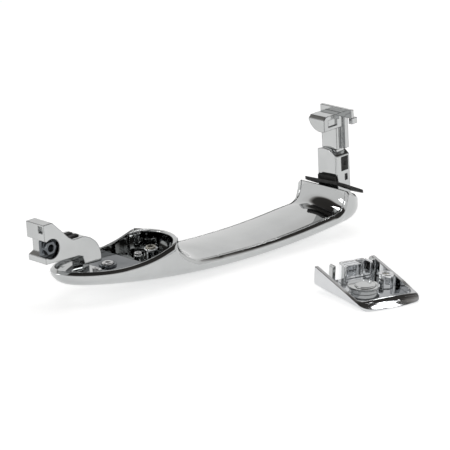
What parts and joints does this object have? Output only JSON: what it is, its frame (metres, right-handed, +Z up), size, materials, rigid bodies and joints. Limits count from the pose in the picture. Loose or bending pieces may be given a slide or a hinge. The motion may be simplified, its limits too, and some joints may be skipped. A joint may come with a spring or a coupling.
{
  "type": "car door handle",
  "caption": "Outside car door pull handle in bright chrome with a hook arm, a rear pull leg, a rubber seal and a loose matching end cap.",
  "frame": {"origin": "bottom centre of the box round the handle and its end cap, on the bench both lie on", "axes": "+X from the hook arm towards the pull leg, +Y from the end cap towards the handle, +Z up, from the outer face towards the door side"},
  "size_m": [0.1958, 0.1218, 0.0602],
  "materials": {
    "chrome": "bright plated",
    "satin_chrome": "plated over a cast surface, slightly soft",
    "steel": "zinc plated",
    "brass": "turned, tinned",
    "rubber": "moulded black",
    "plastic": "moulded",
    "felt": "pressed felt"
  },
  "bodies": {
    "handle": {"outer_shell": "chrome", "grip_back": "chrome", "stiffener_bar": "steel", "bar_screws": "steel", "felt_strips": "felt", "front_tray": "chrome", "front_arm": "satin_chrome", "pivot_bush": "satin_chrome", "arm_pad": "rubber", "stem_rivets": "steel", "arm_screw": "steel", "foot_screw": "steel", "thread_sleeve": "brass", "leg_socket": "satin_chrome", "pull_post": "satin_chrome", "leg_pad": "rubber", "leg_latch": "plastic", "leg_screws": "steel", "rear_core": "plastic"},
    "gasket": {"rear_gasket": "rubber"},
    "end_cap": {"cap_shell": "chrome", "cap_housing": "chrome", "cap_block": "chrome", "cap_clips": "chrome", "cap_boss": "chrome", "cap_insert": "brass", "cap_disc": "chrome"}
  },
  "joints": [
    {"name": "gasket_slide", "type": "slide", "parent": "handle", "child": "gasket", "axis": [-0.0698, 0, 0.9976], "range_m": [0, 0.01]},
    {"name": "cap_lift", "type": "slide", "parent": "handle", "child": "end_cap", "axis": [0, 0, 1], "range_m": [0, 0.06]}
  ]
}
